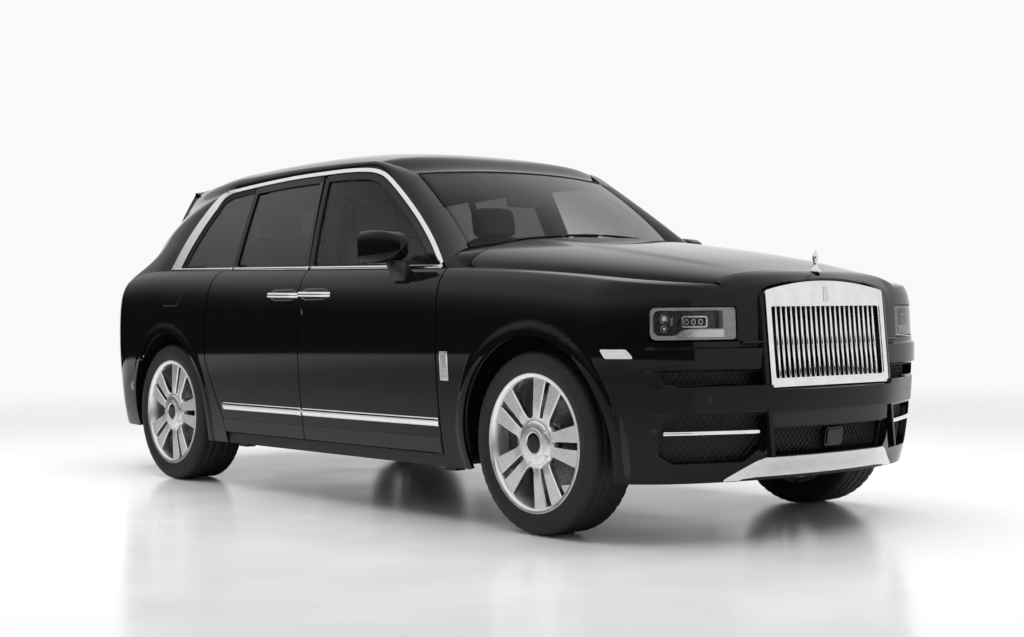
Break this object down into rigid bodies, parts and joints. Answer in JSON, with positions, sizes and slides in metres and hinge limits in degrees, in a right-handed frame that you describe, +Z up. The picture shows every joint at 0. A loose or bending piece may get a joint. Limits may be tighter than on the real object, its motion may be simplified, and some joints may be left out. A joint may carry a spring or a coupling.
{
  "type": "luxury sport utility vehicle",
  "caption": "Large sport utility vehicle with upright bright grille, coach doors, split tailgate and polished spoked wheels, for carrying people in comfort.",
  "frame": {"origin": "on the ground under the middle of the bounding box", "axes": "+X forward, +Y to the vehicle's left, +Z up"},
  "size_m": [5.3412, 2.1628, 1.8348],
  "materials": {
    "black_paint": "gloss black paint",
    "dark_steel": "dark coated steel",
    "bright_chrome": "bright chrome",
    "lamp_clear": "clear lamp",
    "lamp_red": "red lamp",
    "dark_plastic": "grained black plastic",
    "tinted_glass": "tinted glass",
    "engine_alloy": "cast alloy",
    "trim_leather": "dark leather",
    "seat_leather": "brown leather",
    "polished_alloy": "polished alloy",
    "tyre_rubber": "black tyre rubber"
  },
  "bodies": {
    "body_shell": {"floor_pan": "dark_steel", "front_structure": "dark_steel", "front_fenders": "black_paint", "front_bumper": "black_paint", "nose_panel": "black_paint", "grille": "bright_chrome", "headlamps": "lamp_clear", "intake_meshes": "dark_plastic", "windscreen": "tinted_glass", "cowl": "dark_plastic", "roof_rails": "black_paint", "roof_panel": "black_paint", "quarter_panels": "black_paint", "rear_pillars": "black_paint", "quarter_glass": "tinted_glass", "tail_lamps": "lamp_red", "rear_bumper": "black_paint", "window_trim": "bright_chrome", "engine_block": "engine_alloy", "front_suspension": "dark_steel", "rear_suspension": "dark_steel", "dashboard": "trim_leather", "centre_console": "trim_leather", "front_seats": "seat_leather", "rear_seat": "seat_leather", "steering_wheel": "trim_leather", "ornament": "bright_chrome"},
    "front_door_l": {"front_door_left": "black_paint", "front_glass_left": "tinted_glass", "mirror_left": "black_paint"},
    "front_door_r": {"front_door_right": "black_paint", "front_glass_right": "tinted_glass", "mirror_right": "black_paint"},
    "rear_door_l": {"rear_door_left": "black_paint", "rear_glass_left": "tinted_glass"},
    "rear_door_r": {"rear_door_right": "black_paint", "rear_glass_right": "tinted_glass"},
    "bonnet_lid": {"bonnet": "black_paint"},
    "tailgate_top": {"tailgate_upper": "black_paint", "tailgate_glass": "tinted_glass"},
    "tailgate_base": {"tailgate_lower": "black_paint"},
    "steer_l": {"knuckle_left": "dark_steel"},
    "steer_r": {"knuckle_right": "dark_steel"},
    "road_wheel_fl": {"wheel_front_left": "polished_alloy", "tyre_front_left": "tyre_rubber"},
    "road_wheel_fr": {"wheel_front_right": "polished_alloy", "tyre_front_right": "tyre_rubber"},
    "road_wheel_rl": {"wheel_rear_left": "polished_alloy", "tyre_rear_left": "tyre_rubber"},
    "road_wheel_rr": {"wheel_rear_right": "polished_alloy", "tyre_rear_right": "tyre_rubber"}
  },
  "joints": [
    {"name": "front_door_left_hinge", "type": "hinge", "parent": "body_shell", "child": "front_door_l", "pos_m": [1.137, 0.984, 0.7], "axis": [0, 0, -1], "range_deg": [0, 70]},
    {"name": "front_door_right_hinge", "type": "hinge", "parent": "body_shell", "child": "front_door_r", "pos_m": [1.137, -0.984, 0.7], "axis": [0, 0, 1], "range_deg": [0, 70]},
    {"name": "rear_door_left_hinge", "type": "hinge", "parent": "body_shell", "child": "rear_door_l", "pos_m": [-0.9955, 0.997, 0.7], "axis": [0, 0, 1], "range_deg": [0, 75]},
    {"name": "rear_door_right_hinge", "type": "hinge", "parent": "body_shell", "child": "rear_door_r", "pos_m": [-0.9955, -0.997, 0.7], "axis": [0, 0, -1], "range_deg": [0, 75]},
    {"name": "bonnet_hinge", "type": "hinge", "parent": "body_shell", "child": "bonnet_lid", "pos_m": [1.2005, 0, 1.28], "axis": [0, -1, 0], "range_deg": [0, 45]},
    {"name": "tailgate_top_hinge", "type": "hinge", "parent": "body_shell", "child": "tailgate_top", "pos_m": [-1.762, 0, 1.757], "axis": [0, 1, 0], "range_deg": [0, 75]},
    {"name": "tailgate_base_hinge", "type": "hinge", "parent": "body_shell", "child": "tailgate_base", "pos_m": [-2.6705, 0, 0.696], "axis": [0, -1, 0], "range_deg": [0, 85]},
    {"name": "steer_left", "type": "hinge", "parent": "body_shell", "child": "steer_l", "pos_m": [1.7905, 0.7, 0.394], "axis": [0, 0, 1], "range_deg": [-33, 33]},
    {"name": "steer_right", "type": "hinge", "parent": "body_shell", "child": "steer_r", "pos_m": [1.7905, -0.7, 0.394], "axis": [0, 0, 1], "range_deg": [-33, 33]},
    {"name": "wheel_front_left_spin", "type": "hinge", "parent": "steer_l", "child": "road_wheel_fl", "pos_m": [1.7905, 0.8325, 0.394], "axis": [0, 1, 0], "continuous": true},
    {"name": "wheel_front_right_spin", "type": "hinge", "parent": "steer_r", "child": "road_wheel_fr", "pos_m": [1.7905, -0.8325, 0.394], "axis": [0, 1, 0], "continuous": true},
    {"name": "wheel_rear_left_spin", "type": "hinge", "parent": "body_shell", "child": "road_wheel_rl", "pos_m": [-1.5045, 0.8175, 0.394], "axis": [0, 1, 0], "continuous": true},
    {"name": "wheel_rear_right_spin", "type": "hinge", "parent": "body_shell", "child": "road_wheel_rr", "pos_m": [-1.5045, -0.8175, 0.394], "axis": [0, 1, 0], "continuous": true}
  ],
  "couplings": [
    {"joint": "steer_right", "follows": "steer_left", "ratio": 1}
  ]
}
